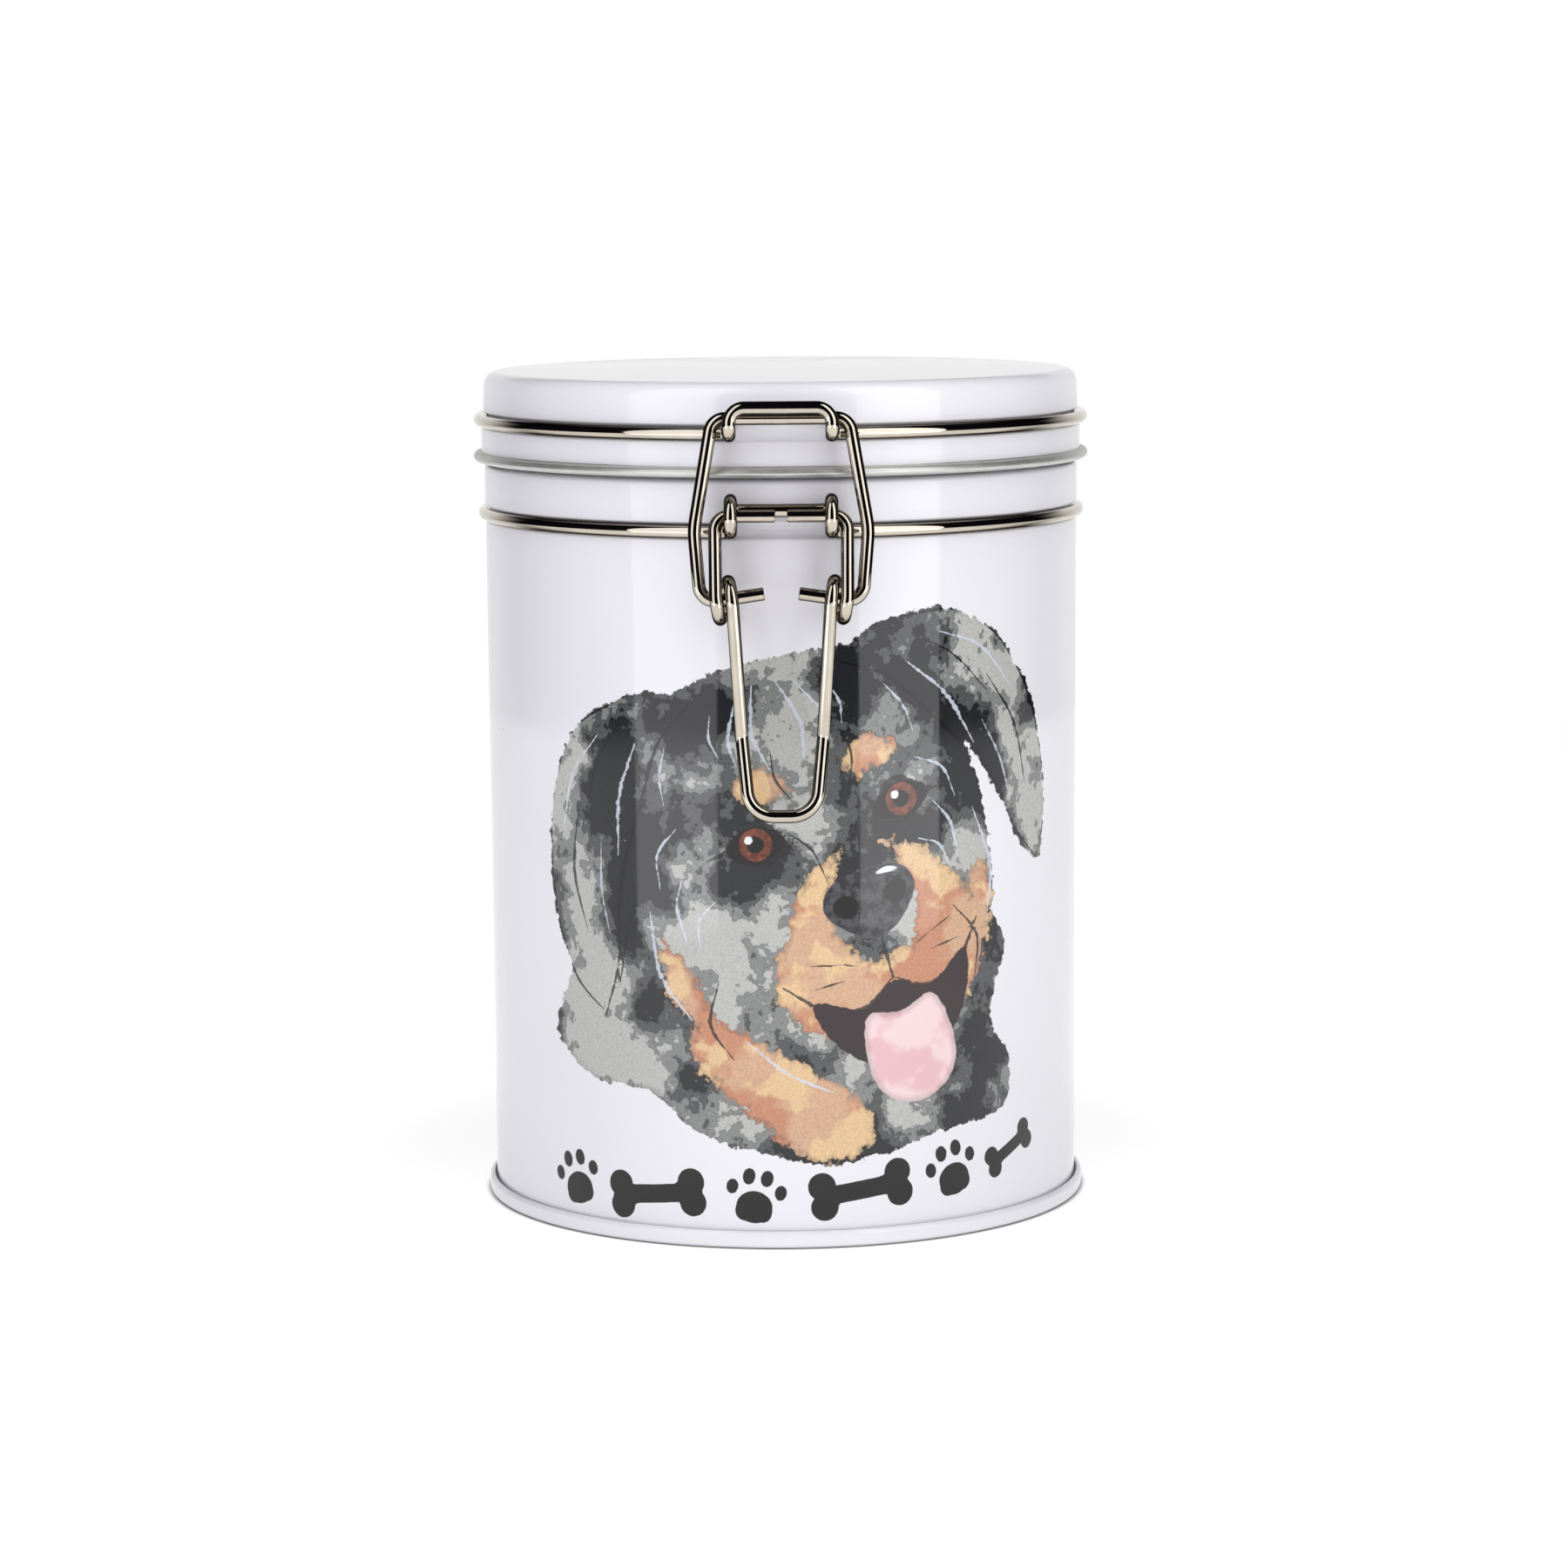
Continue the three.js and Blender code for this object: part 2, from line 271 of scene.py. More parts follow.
def ring_side(radius, height, start, stop, end_bend):
    """Corners along the left side of a ring, from one angle to another, measured from the front."""
    steps = round(abs(stop - start) / RING_STEP)
    corners = []
    for i in range(steps + 1):
        a = math.radians(start + (stop - start) * i / steps)
        bend = end_bend if i in (0, steps) else 0
        corners.append((-radius * math.sin(a), -radius * math.cos(a), height, bend))
    return corners


# Materials


def new_material(name):
    """An empty material's node tree, its Principled shader and its object coordinates."""
    material = bpy.data.materials.new(name)
    material.use_nodes = True
    tree = material.node_tree
    shader = tree.nodes["Principled BSDF"]
    place = tree.nodes.new("ShaderNodeTexCoord").outputs["Object"]
    return material, tree, shader, place


def node(tree, kind, inputs, **settings):
    """A new node with its settings, and its inputs set to values or linked to sockets."""
    made = tree.nodes.new(kind)
    for key, value in settings.items():
        setattr(made, key, value)
    for key, value in inputs.items():
        if isinstance(value, bpy.types.NodeSocket):
            tree.links.new(value, made.inputs[key])
        else:
            made.inputs[key].default_value = value
    return made


def sums(tree, operation, *values):
    """A Math node's result."""
    return node(tree, "ShaderNodeMath", dict(enumerate(values)), operation=operation).outputs[0]


def noise(tree, place, scale, detail=2, roughness=0.5, stretch=(1, 1, 1)):
    """Noise from 0 to 1, with about scale features to the metre, closer along a stretched axis."""
    if stretch != (1, 1, 1):
        place = node(tree, "ShaderNodeMapping", {"Vector": place, "Scale": stretch}).outputs[0]
    wanted = {"Vector": place, "Scale": scale, "Detail": detail, "Roughness": roughness}
    return node(tree, "ShaderNodeTexNoise", wanted).outputs["Fac"]


def between(tree, value, start, stop, low=0.0, high=1.0, smooth=True):
    """low where value is start or less, high where it is stop or more, and a ramp between."""
    wanted = {"Value": value, "From Min": start, "From Max": stop, "To Min": low, "To Max": high}
    kind = "SMOOTHSTEP" if smooth else "LINEAR"
    return node(tree, "ShaderNodeMapRange", wanted, interpolation_type=kind).outputs[0]


def mixed(tree, factor, first, second, blend="MIX"):
    """Two colours mixed by a factor."""
    made = node(tree, "ShaderNodeMix", {0: factor}, data_type="RGBA", blend_type=blend)
    for socket, value in ((made.inputs[6], first), (made.inputs[7], second)):
        if isinstance(value, bpy.types.NodeSocket):
            tree.links.new(value, socket)
        else:
            socket.default_value = (*value, 1)
    return made.outputs[2]


def bump(tree, height, distance, strength=1.0, under=None):
    """Normals for a surface that rises by distance where height is 1, on top of those under it."""
    wanted = {"Height": height, "Distance": distance, "Strength": strength}
    if under is not None:
        wanted["Normal"] = under
    return node(tree, "ShaderNodeBump", wanted).outputs[0]


ENAMEL_LIGHT = (0.775, 0.767, 0.815)
ENAMEL_DEEP = (0.76, 0.752, 0.80)
SPECK = (0.42, 0.41, 0.40)


def enamel_surface(tree, shader, place):
    """Sprayed and stoved gloss enamel: orange peel, uneven thickness and a few dust specks."""
    cloud = noise(tree, place, 28, detail=1)
    colour = mixed(tree, between(tree, cloud, 0.35, 0.65), ENAMEL_LIGHT, ENAMEL_DEEP)
    cells = node(tree, "ShaderNodeTexVoronoi", {"Vector": place, "Scale": 150})
    near = between(tree, cells.outputs["Distance"], 0.03, 0.05, 1, 0)
    chance = node(tree, "ShaderNodeSeparateColor", {0: cells.outputs["Color"]}).outputs[0]
    rare = sums(tree, "GREATER_THAN", chance, 0.975)
    colour = mixed(tree, sums(tree, "MULTIPLY", near, rare), colour, SPECK)
    peel = noise(tree, place, 350, detail=1)
    waves = noise(tree, place, 60, detail=1)
    soft = noise(tree, place, 90, detail=1)
    tree.links.new(between(tree, soft, 0.3, 0.7, 0.045, 0.075), shader.inputs["Roughness"])
    facing = tree.nodes.new("ShaderNodeTexCoord").outputs["Normal"]
    level = sums(tree, "ABSOLUTE", node(tree, "ShaderNodeSeparateXYZ", {0: facing}).outputs["Z"])
    upright = between(tree, level, 0.8, 0.95, 1, 0)
    rough = bump(tree, waves, 0.000004, upright)
    tree.links.new(bump(tree, peel, 0.0000005, upright, rough), shader.inputs["Normal"])
    shader.inputs["IOR"].default_value = 1.5
    return colour


def enamel():
    """The plain enamel of the lid and of the can's end."""
    material, tree, shader, place = new_material("white_enamel")
    tree.links.new(enamel_surface(tree, shader, place), shader.inputs["Base Color"])
    return material


def printed(red, green, blue):
    """A printed colour, from 0-255 screen values to light."""
    screen = [value / 255 for value in (red, green, blue)]
    return tuple(((value + 0.055) / 1.055)**2.4 for value in screen)


def layer(tree, name):
    """A layer of the print, stored on the wall's vertices."""
    return node(tree, "ShaderNodeAttribute", {}, attribute_name=name).outputs["Fac"]


def stir(tree, place, scale, detail=3, roughness=0.55):
    """Noise spread about nought, mostly from -0.5 to 0.5."""
    cloud = noise(tree, place, scale, detail, roughness)
    return between(tree, cloud, 0.22, 0.78, -0.5, 0.5, smooth=False)


def sum_of(tree, first, *more):
    """first plus each (value, weight)."""
    total = first
    for value, weight in more:
        total = sums(tree, "MULTIPLY_ADD", value, weight, total)
    return total


def inside(tree, value, reach=0.12):
    """1 where a layer is above nought and 0 where it is below, with a soft edge."""
    return between(tree, value, -reach, reach)


def darker(tree, colour, factor, depth):
    """A colour with a factor of its light, times depth, taken away."""
    shade = between(tree, factor, 0, 1, 1, 1 - depth, smooth=False)
    grey = node(tree, "ShaderNodeCombineColor", {0: shade, 1: shade, 2: shade}).outputs[0]
    return mixed(tree, 1.0, colour, grey, "MULTIPLY")


def line_ink(tree, name, rough, wander, depth):
    """How much ink of the brush lines there is: in the stroke's width, and near a stroke at all."""
    offset = sums(tree, "ABSOLUTE", layer(tree, name + "_offset"))
    stroke = inside(tree, sum_of(tree, 0.5, (offset, -1), (rough, wander)), 0.16)
    near = between(tree, layer(tree, name + "_gap"), 0.45, 0.7, depth, 0)
    return sums(tree, "MULTIPLY", stroke, near)


# Inks of the fur, each (tone where it begins, tone where it is full, screen colour)
PALE_FUR = (184, 184, 181)
FUR_INKS = [
    (0.30, 0.35, (133, 135, 134)), (0.44, 0.49, (84, 85, 87)), (0.57, 0.63, (37, 38, 41)),
]


def coat(tree, fur, cloud, broad, fine):
    """Fur in four greys by its tone, with the dark edges that a wash dries with."""
    tone = sum_of(tree, layer(tree, "tone"), (broad, 0.8), (cloud, 0.55), (fine, 0.25))
    colour = printed(*PALE_FUR)
    for begins, full, ink in FUR_INKS:
        colour = mixed(tree, between(tree, tone, begins, full), colour, printed(*ink))
    for _, full, _ in FUR_INKS:
        away = sums(tree, "ABSOLUTE", sums(tree, "SUBTRACT", tone, full))
        colour = darker(tree, colour, between(tree, away, 0, 0.03, 1, 0), 0.18)
    edge = between(tree, fur, 0.1, 0.9, 1, 0)
    rim = sums(tree, "MULTIPLY", edge, between(tree, cloud, -0.15, 0.1))
    return darker(tree, colour, rim, 0.35)


def tan_patches(tree, colour, cloud, broad, fine):
    """Orange over the coat on the snout, brows, cheeks and chest."""
    patchy = between(tree, cloud, -0.08, 0.05)
    orange = mixed(tree, patchy, printed(196, 138, 108), printed(208, 168, 138))
    orange = mixed(tree, between(tree, broad, 0, 0.12), orange, printed(224, 190, 146))
    tan = sum_of(tree, layer(tree, "tan"), (broad, 3.8), (fine, 2.8))
    orange = darker(tree, orange, between(tree, tan, 0.1, 1.2, 1, 0), 0.3)
    return mixed(tree, inside(tree, tan, 0.3), colour, orange)


def brush_lines(tree, colour, fine, bristles):
    """Dark and light strokes."""
    colour = mixed(tree, line_ink(tree, "dark", fine, 0.9, 0.88), colour, printed(24, 24, 27))
    return mixed(tree, line_ink(tree, "light", bristles, 1.2, 0.8), colour, printed(198, 206, 220))


def mouth_and_nose(tree, colour, tongue, broad, fine):
    """Open mouth, tongue, and a leathery nose with its nostrils."""
    mouth = sum_of(tree, layer(tree, "mouth"), (fine, 0.5))
    colour = mixed(tree, inside(tree, mouth), colour, printed(50, 38, 41))
    pink = mixed(tree, between(tree, broad, -0.1, 0.1), printed(232, 206, 208), printed(222, 180, 186))
    pink = darker(tree, pink, between(tree, tongue, 0.2, 1.3, 1, 0), 0.25)
    colour = mixed(tree, inside(tree, tongue), colour, pink)
    nose = sum_of(tree, layer(tree, "nose"), (fine, 0.4))
    leather = mixed(tree, between(tree, fine, -0.2, 0.2), printed(34, 32, 36), printed(74, 74, 80))
    colour = mixed(tree, inside(tree, nose), colour, leather)
    return mixed(tree, inside(tree, layer(tree, "nostril")), colour, printed(16, 14, 16))


def eyes(tree, colour, fine):
    """Dark eyelids, brown irises cut off by them, pupils, and glints here and on the nose."""
    eyelid = layer(tree, "eyelid")
    colour = mixed(tree, inside(tree, eyelid), colour, printed(24, 18, 18))
    iris = sums(tree, "MINIMUM", layer(tree, "iris"), sums(tree, "SUBTRACT", eyelid, 0.3))
    brown = mixed(tree, between(tree, fine, -0.2, 0.2), printed(88, 40, 26), printed(124, 68, 48))
    colour = mixed(tree, inside(tree, iris), colour, brown)
    pupil = sums(tree, "SUBTRACT", layer(tree, "iris"), 1.3)
    colour = mixed(tree, inside(tree, pupil), colour, printed(12, 11, 12))
    return mixed(tree, inside(tree, layer(tree, "glint")), colour, printed(228, 232, 240))


def watercolour(tree, place, paper):
    """A dog's head in layers of watercolour, with a row of pictograms in plain ink under it."""
    cloud = stir(tree, place, 60, detail=4)
    broad = stir(tree, place, 110)
    fine = stir(tree, place, 700, roughness=0.6)
    bristles = stir(tree, place, 1100, detail=2)
    grain = between(tree, noise(tree, place, 2600, detail=1), 0.3, 0.7)

    fur = sum_of(tree, layer(tree, "fur"), (broad, 1.6), (fine, 1.3))
    tongue = sum_of(tree, layer(tree, "tongue"), (fine, 0.4))
    colour = coat(tree, fur, cloud, broad, fine)
    colour = tan_patches(tree, colour, cloud, broad, fine)
    colour = darker(tree, colour, grain, 0.16)
    colour = brush_lines(tree, colour, fine, bristles)
    colour = mouth_and_nose(tree, colour, tongue, broad, fine)
    colour = eyes(tree, colour, fine)

    cover = sums(tree, "MAXIMUM", inside(tree, fur), inside(tree, tongue))
    colour = mixed(tree, cover, paper, colour)
    ink = sum_of(tree, layer(tree, "pictograms"), (fine, 0.08))
    return mixed(tree, inside(tree, ink, 0.06), colour, printed(18, 18, 19))


def printed_enamel():
    """The wall's enamel, printed under its gloss."""
    material, tree, shader, place = new_material("printed_enamel")
    colour = watercolour(tree, place, enamel_surface(tree, shader, place))
    tree.links.new(colour, shader.inputs["Base Color"])
    return material


TIN_DARK = (0.48, 0.485, 0.46)
TIN_LIGHT = (0.58, 0.58, 0.55)


def tinplate():
    """Bare tin-coated sheet, a little dulled: fine rolling lines, cloudy tin and matt patches."""
    material, tree, shader, place = new_material("tinplate")
    lines = noise(tree, place, 900, detail=3, roughness=0.6, stretch=(0.3, 0.3, 2))
    cloud = noise(tree, place, 500, detail=4, roughness=0.65)
    tone = sums(tree, "MULTIPLY_ADD", lines, 0.5, sums(tree, "MULTIPLY", cloud, 0.5))
    colour = mixed(tree, between(tree, tone, 0.3, 0.7), TIN_DARK, TIN_LIGHT)
    tree.links.new(colour, shader.inputs["Base Color"])
    tree.links.new(between(tree, cloud, 0.3, 0.7, 0.29, 0.38), shader.inputs["Roughness"])
    tree.links.new(bump(tree, lines, 0.000002, 0.5), shader.inputs["Normal"])
    shader.inputs["Metallic"].default_value = 0.7
    return material


NICKEL_BRIGHT = (0.54, 0.49, 0.415)
NICKEL_HAZY = (0.48, 0.43, 0.365)
NICKEL_PAINTED_DARK_EDGE = (0.08, 0.07, 0.06)
PAINTED_DARK_EDGE_TINT = (0.3, 0.3, 0.3)

# How far across, in metres, the painted shade on the wire's edges begins to fade and is gone
PAINTED_EDGE_FRONT = 0.039
PAINTED_EDGE_SIDE = 0.046


def nickel():
    """Bright nickel plate on drawn wire: warm tint, hazy patches and hairline scratches.

    Its edges in front carry painted shade, darkened in colour and in reflection tint as if they
    mirrored a dark room, except at the sides, where the rings fade into the white room.
    """
    material, tree, shader, place = new_material("nickel_wire")
    cloud = noise(tree, place, 160, detail=4, roughness=0.6)
    colour = mixed(tree, between(tree, cloud, 0.35, 0.7), NICKEL_BRIGHT, NICKEL_HAZY)
    across = sums(tree, "ABSOLUTE", node(tree, "ShaderNodeSeparateXYZ", {0: place}).outputs["X"])
    # Painted shade is laid only on the wires in front; it fades out towards the sides
    painted_edge_zone = between(tree, across, PAINTED_EDGE_FRONT, PAINTED_EDGE_SIDE, 1, 0)
    facing = tree.nodes.new("ShaderNodeLayerWeight").outputs["Facing"]
    # Painted shade: the edges that turn away from view are darkened, as if they mirrored a dark room
    edge = sums(tree, "MULTIPLY", painted_edge_zone, between(tree, facing, 0.38, 0.62))
    colour = mixed(tree, edge, colour, NICKEL_PAINTED_DARK_EDGE)
    tree.links.new(colour, shader.inputs["Base Color"])
    hairs = noise(tree, place, 1500, detail=3, roughness=0.7, stretch=(1, 1, 0.12))
    haze = sums(tree, "MULTIPLY", between(tree, cloud, 0.4, 0.75), hairs)
    tree.links.new(between(tree, haze, 0, 0.7, 0.02, 0.09), shader.inputs["Roughness"])
    tree.links.new(bump(tree, hairs, 0.000002, 0.5), shader.inputs["Normal"])
    shader.inputs["Metallic"].default_value = 1
    # Painted shade in the reflections: in front, the wire's grazing reflections are tinted dark
    tint = mixed(tree, painted_edge_zone, (1, 1, 1), PAINTED_DARK_EDGE_TINT)
    tree.links.new(tint, shader.inputs["Specular Tint"])
    return material


MILKY = (0.80, 0.80, 0.78)
MILKY_DEEP = (0.70, 0.70, 0.68)


def silicone():
    """Milky silicone: light goes a little way in, with a matt moulded skin."""
    material, tree, shader, place = new_material("silicone")
    cloud = noise(tree, place, 120, detail=3)
    colour = mixed(tree, cloud, MILKY, MILKY_DEEP)
    tree.links.new(colour, shader.inputs["Base Color"])
    skin = noise(tree, place, 2500, detail=2)
    tree.links.new(between(tree, skin, 0.3, 0.7, 0.42, 0.6), shader.inputs["Roughness"])
    tree.links.new(bump(tree, skin, 0.00001, 0.5), shader.inputs["Normal"])
    shader.inputs["Subsurface Weight"].default_value = 0.35
    shader.inputs["Subsurface Scale"].default_value = 0.002
    return material


ENAMEL = enamel()
PRINTED_ENAMEL = printed_enamel()
TINPLATE = tinplate()
NICKEL = nickel()
SILICONE = silicone()


# Print: layers drawn on the unrolled front of the wall, in millimetres across from its middle and
# up from its foot. The neck, the chest and the pictograms are drawn there as they are. The rest is
# drawn upright about the middle of the head, which is then tilted, with the face and the muzzle
# moved a little across. Ears, cheeks, brows, eyelids and nostrils are drawn on the right side and
# mirrored.

PRINT_STEP = 0.6
PRINT_HALF = 54
PRINT_TOP = 106
PRINT_MARGIN = 1
PRINT_DEPTH = 0.1
BACK_STEP = 3
CURVE_STEPS = 6
NO_INK = -9.0
HEAD_AT = (6, 60.5)
HEAD_TILT = 16
FACE_X = 4
MUZZLE_X = 7

SKULL = with_mirror_image([
    (0, 37), (13, 36), (23, 32), (29, 22), (31, 8), (31, -6), (27, -18), (19, -29), (7, -34),
])
EAR = [
    (13, 33), (24, 37), (36, 34), (44, 24), (48, 10), (47, -4), (42, -12), (37, -4), (33, 8),
    (27, 19),
]
NECK = [
    (-29, 66), (-38, 46), (-42, 33), (-34, 26), (-23, 25), (-13, 18), (3, 14), (15, 15), (27, 18),
    (40, 20), (42, 27), (37, 36), (38, 52), (0, 60),
]
CHEST = [(-16, 34), (-9, 37), (2, 30), (12, 25), (13, 17), (3, 15), (-7, 22)]
CHEEK = [(28, -2), (29, -12), (24, -22), (15, -30), (18, -22), (23, -13)]
BROW = [(5, 17), (9, 20.5), (13.5, 18.5), (12, 15.5), (7, 14.5)]
SNOUT = with_mirror_image([(0, 3), (8, 1), (15, -7), (19, -16), (14, -25), (0, -29)])
BRIDGE = with_mirror_image([(0, 6), (5, 0), (6, -9), (3, -15)])
NOSE = with_mirror_image([(0, -0.5), (6, -1.5), (8, -5.5), (4.5, -10), (0, -12)])
NOSTRIL = [(2.2, -5.2), (4.2, -3.6), (6.4, -4.6), (5.6, -7), (3.4, -7.4)]
GLOSS = [(1.6, -1.8), (4, -1.2), (6.2, -2.4), (4, -2.2)]
MOUTH = with_mirror_image([(0, -19.5), (6, -22.5), (14, -19), (12, -27), (5, -33)])
TONGUE = with_mirror_image([(0, -25), (6, -24), (8, -32), (6, -38), (0, -40.5)])
EYELID = [(7.5, 7.9), (10.5, 11.1), (14.5, 11.1), (17.5, 8.3), (14.5, 5.7), (10.5, 5.7)]
IRIS_X = 12.5
IRIS_Z = 8.5
IRIS_RADIUS = 2.7
GLINT_RADIUS = 0.7
GLINT_AT = (-0.9, 1)
BRIDGE_EDGE = 0.6
MIDDLE_TONE = 0.42

# Darkness added to the fur, each (across, up, reach across, reach up, darkness), on both sides
SHADES = [
    (0, 24, 7, 9, -0.28), (15, 3, 8, 7, 0.3), (10, 14, 7, 4, 0.2), (22, -5, 6, 6, -0.3),
    (25, 26, 9, 8, 0.28), (41, 12, 4, 14, -0.25), (34, 8, 4, 13, 0.35), (28, 14, 5, 12, 0.22),
    (12, 32, 8, 5, 0.25), (24, -16, 6, 9, 0.32), (12, 22, 4, 7, 0.14), (6, 12, 4, 6, -0.12),
    (30, -34, 12, 9, 0.1), (17, -40, 9, 8, 0.35), (37, -20, 6, 8, -0.2),
]

# Brush lines on both sides of the head, the face or the muzzle, each (width, corners); TAPER is
# the share of the width that is left at a line's ends
TAPER = 0.3
DARK_LINES = [
    (0.7, [(13, 33), (20, 28), (26, 19), (33, 8), (37, -4), (42, -12)]),
    (0.6, [(24, 37), (36, 34), (44, 24), (48, 10), (47, -4), (42, -12)]),
    (0.5, [(21, -12), (24, -18), (22, -24)]),
    (0.4, [(26, 33), (32, 28), (37, 20)]),
    (0.5, [(38, 22), (42, 12), (42, 2)]),
    (0.4, [(33, 2), (36, -4), (38, -8)]),
]
FACE_LINES = [
    (1.0, [(7, 6.2), (9.5, 10.8), (13, 11.9), (17.3, 8.8), (20.5, 8)]),
    (0.6, [(8, 6), (12, 5), (17, 7.6)]),
    (0.4, [(3, -1), (4, 5), (7, 9)]),
    (0.4, [(5, 14), (6.5, 18), (6, 22)]),
]
MUZZLE_LINES = [
    (0.6, [(0.1, -12), (0, -15), (0.1, -18)]),
    (0.9, [(0, -19), (6, -22.5), (13, -20), (17.5, -15.5)]),
    (0.35, [(9, -14), (12, -13.2)]),
    (0.35, [(8.5, -17), (12.5, -17)]),
    (0.35, [(6, -15), (7.5, -14.4)]),
]
LIGHT_LINES = [
    (0.6, [(2, 33), (4, 26), (3, 20)]), (0.5, [(5, 32), (8, 26), (8, 22)]),
    (0.6, [(24, 29), (29, 22), (32, 13)]), (0.6, [(29, 2), (30, -8), (27, -16)]),
    (0.5, [(22, 6), (24, 2), (24, -4)]), (0.4, [(21, 14), (25, 11), (26, 6)]),
    (0.5, [(19, -22), (14, -29), (8, -34)]), (0.4, [(31, 32), (38, 27), (43, 18)]),
    (0.4, [(18, 1), (21, -1), (22, -5)]), (0.35, [(10, 30), (11, 27), (10.5, 24)]),
    (0.35, [(19, 27), (21, 23), (21.5, 19)]), (0.35, [(35, 15), (37, 8), (37.5, 1)]),
]


def curved(corners, closed=True):
    """Points on a smooth line, a Catmull-Rom spline, through the corners."""
    at = np.array(corners, float)
    if closed:
        at = np.concatenate([at[-1:], at, at[:2]])
    else:
        at = np.concatenate([2 * at[:1] - at[1:2], at, 2 * at[-1:] - at[-2:-1]])
    t = np.arange(CURVE_STEPS)[:, None] / CURVE_STEPS
    points = []
    for a, b, c, d in zip(at, at[1:], at[2:], at[3:]):
        cubic = 3 * b - a - 3 * c + d
        points.append(b + 0.5 * t * (c - a + t * (2 * a - 5 * b + 4 * c - d + t * cubic)))
    return np.concatenate([*points, at[-2:-1]])


def nearest(at, line):
    """For every point, its distance from a line, to which side, and where along it, 0 to 1."""
    gap = np.full(len(at), np.inf)
    side = np.zeros(len(at))
    along = np.zeros(len(at))
    for i, (a, b) in enumerate(zip(line, line[1:])):
        step = b - a
        part = np.clip((at - a) @ step / (step @ step), 0, 1)
        x, y = (at - a - part[:, None] * step).T
        far = np.hypot(x, y)
        closer = far < gap
        gap[closer] = far[closer]
        side[closer] = ((step[0] * y - step[1] * x) / math.hypot(*step))[closer]
        along[closer] = (i + part[closer]) / (len(line) - 1)
    return gap, side, along


def patch(at, corners):
    """How far every point is inside the smooth outline through the corners."""
    line = curved(corners)
    gap, _, _ = nearest(at, line)
    x, y = at.T
    within = np.zeros(len(at), bool)
    for (x0, y0), (x1, y1) in zip(line, line[1:]):
        beside = (y0 > y) != (y1 > y)
        within[beside] ^= x[beside] < x0 + (y[beside] - y0) * (x1 - x0) / (y1 - y0)
    return np.where(within, gap, -gap)


def both(at, draw, shape):
    """A shape and its mirror image, drawn by draw(at, shape)."""
    return np.maximum(draw(at, shape), draw(at * (-1, 1), shape))


def brushed(at, lines):
    """Tapered brush lines: offset to one side in line widths, and distance from the nearest."""
    gap = np.full(len(at), -NO_INK)
    offset = np.full(len(at), -NO_INK)
    for width, corners in lines:
        far, side, along = nearest(at, curved(corners, closed=False))
        closer = far < gap
        taper = width * (TAPER + (1 - TAPER) * np.sin(np.pi * along))
        gap[closer] = far[closer]
        offset[closer] = np.clip(side / taper, NO_INK, -NO_INK)[closer]
    return offset, gap


def mirrored(lines, shift=0):
    """Lines and their mirror images, moved across."""
    return [
        (width, [(side * x + shift, y) for x, y in line])
        for side in (1, -1) for width, line in lines
    ]


def folded(at):
    """Points with those left of the middle folded over to the right."""
    return np.abs(at) * (1, 0) + at * (0, 1)


def disc(at, x, y, radius):
    """How far every point is inside a circle."""
    return radius - np.hypot(at[:, 0] - x, at[:, 1] - y)


def placed(at, x, y, turn, size):
    """Points in the frame of a drawing that stands at x, y, turned in degrees and scaled."""
    c, s = math.cos(math.radians(turn)), math.sin(math.radians(turn))
    return (at - (x, y)) @ np.array([[c, -s], [s, c]]) / size


def bone(at):
    """How far every point is inside a bone: a shaft, and two knobs at each end."""
    at = np.abs(at)
    shaft = 1.35 - np.hypot(np.maximum(at[:, 0] - 5, 0), at[:, 1])
    return np.maximum(shaft, disc(at, 5.6, 1.5, 2))


def paw(at):
    """How far every point is inside a paw print: a pad of three lobes, and four toes."""
    at = at * (1, 0.9)
    half = folded(at)
    pad = np.maximum(disc(at * (0.8, 1), 0, -1.2, 2.1), disc(half, 1.35, -1.8, 1.3))
    toes = np.maximum(disc(half * (1.2, 1), 1.55, 2.7, 1.1), disc(half * (1.15, 1), 4, 1.1, 1))
    return np.maximum(pad, toes)


# The row of pictograms, each (across, shape, turn in degrees, size)
PICTOGRAMS = [
    (-38, paw, 14, 1.15), (-22, bone, 6, 1.15), (-5, paw, -8, 1.15), (12.5, bone, 8, 1.15),
    (29, paw, 14, 1.15), (42, bone, 24, 0.8),
]
ROW_Z = 8.4
ROW_SLOPE = 0.045
ROW_SWING = 0.0014


def pictograms(at):
    """A row of paw prints and bones that swings up to the right."""
    ink = np.full(len(at), NO_INK)
    for x, shape, turn, size in PICTOGRAMS:
        y = ROW_Z + ROW_SLOPE * x + ROW_SWING * x * x
        ink = np.maximum(ink, size * shape(placed(at, x, y, turn, size)))
    return ink


